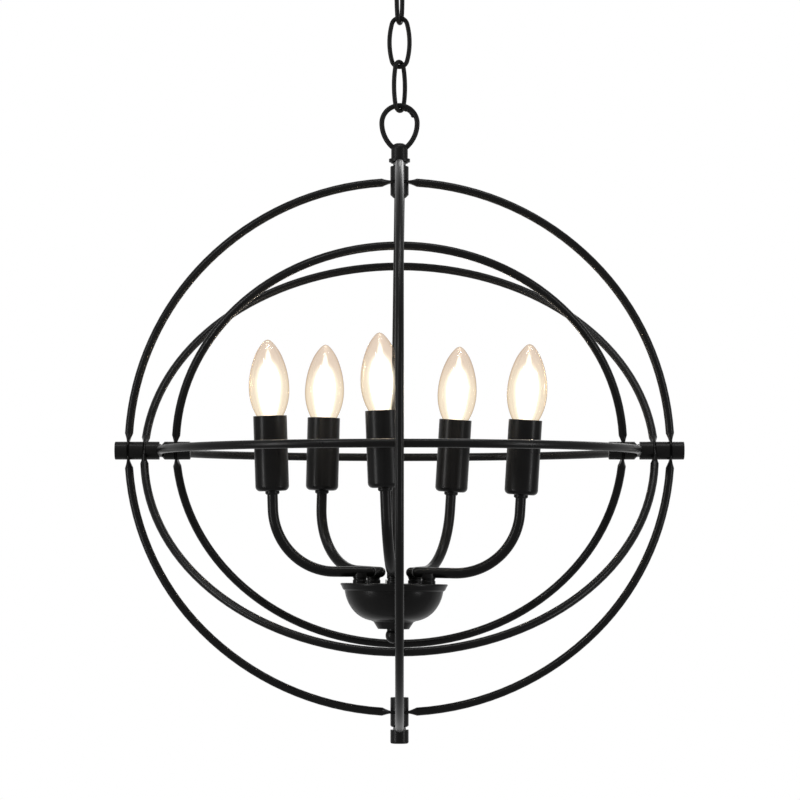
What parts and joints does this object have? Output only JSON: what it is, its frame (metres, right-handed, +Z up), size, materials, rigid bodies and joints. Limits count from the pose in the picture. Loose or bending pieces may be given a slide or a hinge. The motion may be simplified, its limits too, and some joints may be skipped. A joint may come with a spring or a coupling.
{
  "type": "orb chandelier",
  "caption": "Hanging orb chandelier: nested pivoting steel rings round curved arms with candle sleeves over a small bowl, on a chain under a ceiling canopy.",
  "frame": {"origin": "on the ceiling plane, in the middle of the ceiling bar and canopy", "axes": "+Z up, +X to the right along the side studs as the picture shows them, +Y away from the viewer"},
  "size_m": [0.5122, 0.5146, 0.7628],
  "materials": {
    "black_steel": "satin black paint, a little grained on the cast and spun pieces",
    "zinc_steel": "zinc plated, dull",
    "brass": "thin pressed brass",
    "holder_plastic": "moulded, matt",
    "lead_plastic": "soft wire covering",
    "splice_plastic": "moulded, matt",
    "lamp_glass": "clear, smooth",
    "filament": "glowing filament on its glass stem"
  },
  "bodies": {
    "ceiling_fitting": {"ceiling_bar": "zinc_steel", "ceiling_nipple": "zinc_steel", "canopy": "black_steel", "canopy_collar": "black_steel", "ceiling_loop": "black_steel"},
    "link_1": {"chain_link_1": "black_steel"},
    "link_2": {"chain_link_2": "black_steel"},
    "link_3": {"chain_link_3": "black_steel"},
    "orb_frame": {"top_loop": "black_steel", "upper_nipple": "zinc_steel", "upper_outer_spacer": "black_steel", "upper_inner_spacer": "black_steel", "lower_inner_nut": "black_steel", "lower_spacer": "black_steel", "lower_cap": "black_steel", "lower_stud": "zinc_steel", "left_hub_spacers": "black_steel", "right_hub_spacers": "black_steel", "hub_inner_nuts": "black_steel", "hub_end_caps": "black_steel", "hub_studs": "zinc_steel", "face_ring": "black_steel", "column": "black_steel", "column_nuts": "zinc_steel", "bowl_plate": "black_steel", "bowl": "black_steel", "bowl_finial": "black_steel", "arm_posts": "black_steel", "post_nuts": "zinc_steel", "arm_leads": "lead_plastic", "lead_splices": "splice_plastic", "arm_collets": "black_steel", "candle_sleeves": "black_steel", "lamp_holders": "holder_plastic", "holder_shells": "brass", "arm_1": "black_steel", "arm_2": "black_steel", "arm_3": "black_steel", "arm_4": "black_steel", "arm_5": "black_steel"},
    "side_ring": {"side_ring": "black_steel"},
    "wide_tilt_ring": {"wide_tilt_ring": "black_steel"},
    "level_ring": {"level_ring": "black_steel"},
    "small_tilt_ring": {"small_tilt_ring": "black_steel"},
    "lamp_1": {"lamp_1_cap": "brass", "lamp_1_glass": "lamp_glass", "lamp_1_filament": "filament"},
    "lamp_2": {"lamp_2_cap": "brass", "lamp_2_glass": "lamp_glass", "lamp_2_filament": "filament"},
    "lamp_3": {"lamp_3_cap": "brass", "lamp_3_glass": "lamp_glass", "lamp_3_filament": "filament"},
    "lamp_4": {"lamp_4_cap": "brass", "lamp_4_glass": "lamp_glass", "lamp_4_filament": "filament"},
    "lamp_5": {"lamp_5_cap": "brass", "lamp_5_glass": "lamp_glass", "lamp_5_filament": "filament"}
  },
  "joints": [
    {"name": "link_1_swing", "type": "hinge", "parent": "ceiling_fitting", "child": "link_1", "pos_m": [0, 0, -0.075], "axis": [1, 0, 0], "range_deg": [-15, 15]},
    {"name": "link_2_swing", "type": "hinge", "parent": "link_1", "child": "link_2", "pos_m": [0, 0, -0.11425], "axis": [0.2756, 0.9613, 0], "range_deg": [-15, 15]},
    {"name": "link_3_swing", "type": "hinge", "parent": "link_2", "child": "link_3", "pos_m": [0, 0, -0.1529], "axis": [1, 0, 0], "range_deg": [-15, 15]},
    {"name": "orb_swing", "type": "hinge", "parent": "link_3", "child": "orb_frame", "pos_m": [0, 0, -0.19325], "axis": [0.5446, 0.8387, 0], "range_deg": [-15, 15]},
    {"name": "side_ring_turn", "type": "hinge", "parent": "orb_frame", "child": "side_ring", "pos_m": [0, 0, -0.49915], "axis": [0, 0, 1], "range_deg": [-86, 86]},
    {"name": "wide_ring_tilt", "type": "hinge", "parent": "orb_frame", "child": "wide_tilt_ring", "pos_m": [0, 0, -0.49915], "axis": [1, 0, 0], "range_deg": [-137.2, 35.8]},
    {"name": "level_ring_tilt", "type": "hinge", "parent": "orb_frame", "child": "level_ring", "pos_m": [0, 0, -0.49915], "axis": [1, 0, 0], "range_deg": [-87, 87]},
    {"name": "small_ring_tilt", "type": "hinge", "parent": "orb_frame", "child": "small_tilt_ring", "pos_m": [0, 0, -0.49915], "axis": [1, 0, 0], "range_deg": [-25.9, 148.1]},
    {"name": "lamp_1_unscrew", "type": "hinge", "parent": "orb_frame", "child": "lamp_1", "pos_m": [-0.11509, -0.03521, -0.47626], "axis": [-0.031, -0.0139, 0.9994], "range_deg": [0, 1080]},
    {"name": "lamp_2_unscrew", "type": "hinge", "parent": "orb_frame", "child": "lamp_2", "pos_m": [-0.07019, 0.0893, -0.4733], "axis": [0.0253, 0.0137, 0.9996], "range_deg": [0, 1080]},
    {"name": "lamp_3_unscrew", "type": "hinge", "parent": "orb_frame", "child": "lamp_3", "pos_m": [-0.01466, -0.11195, -0.47464], "axis": [-0.0371, -0.0055, 0.9993], "range_deg": [0, 1080]},
    {"name": "lamp_4_unscrew", "type": "hinge", "parent": "orb_frame", "child": "lamp_4", "pos_m": [0.05147, 0.09694, -0.47473], "axis": [0.0603, -0.0203, 0.998], "range_deg": [0, 1080]},
    {"name": "lamp_5_unscrew", "type": "hinge", "parent": "orb_frame", "child": "lamp_5", "pos_m": [0.11214, -0.02322, -0.47944], "axis": [0.0588, -0.0201, 0.9981], "range_deg": [0, 1080]}
  ]
}
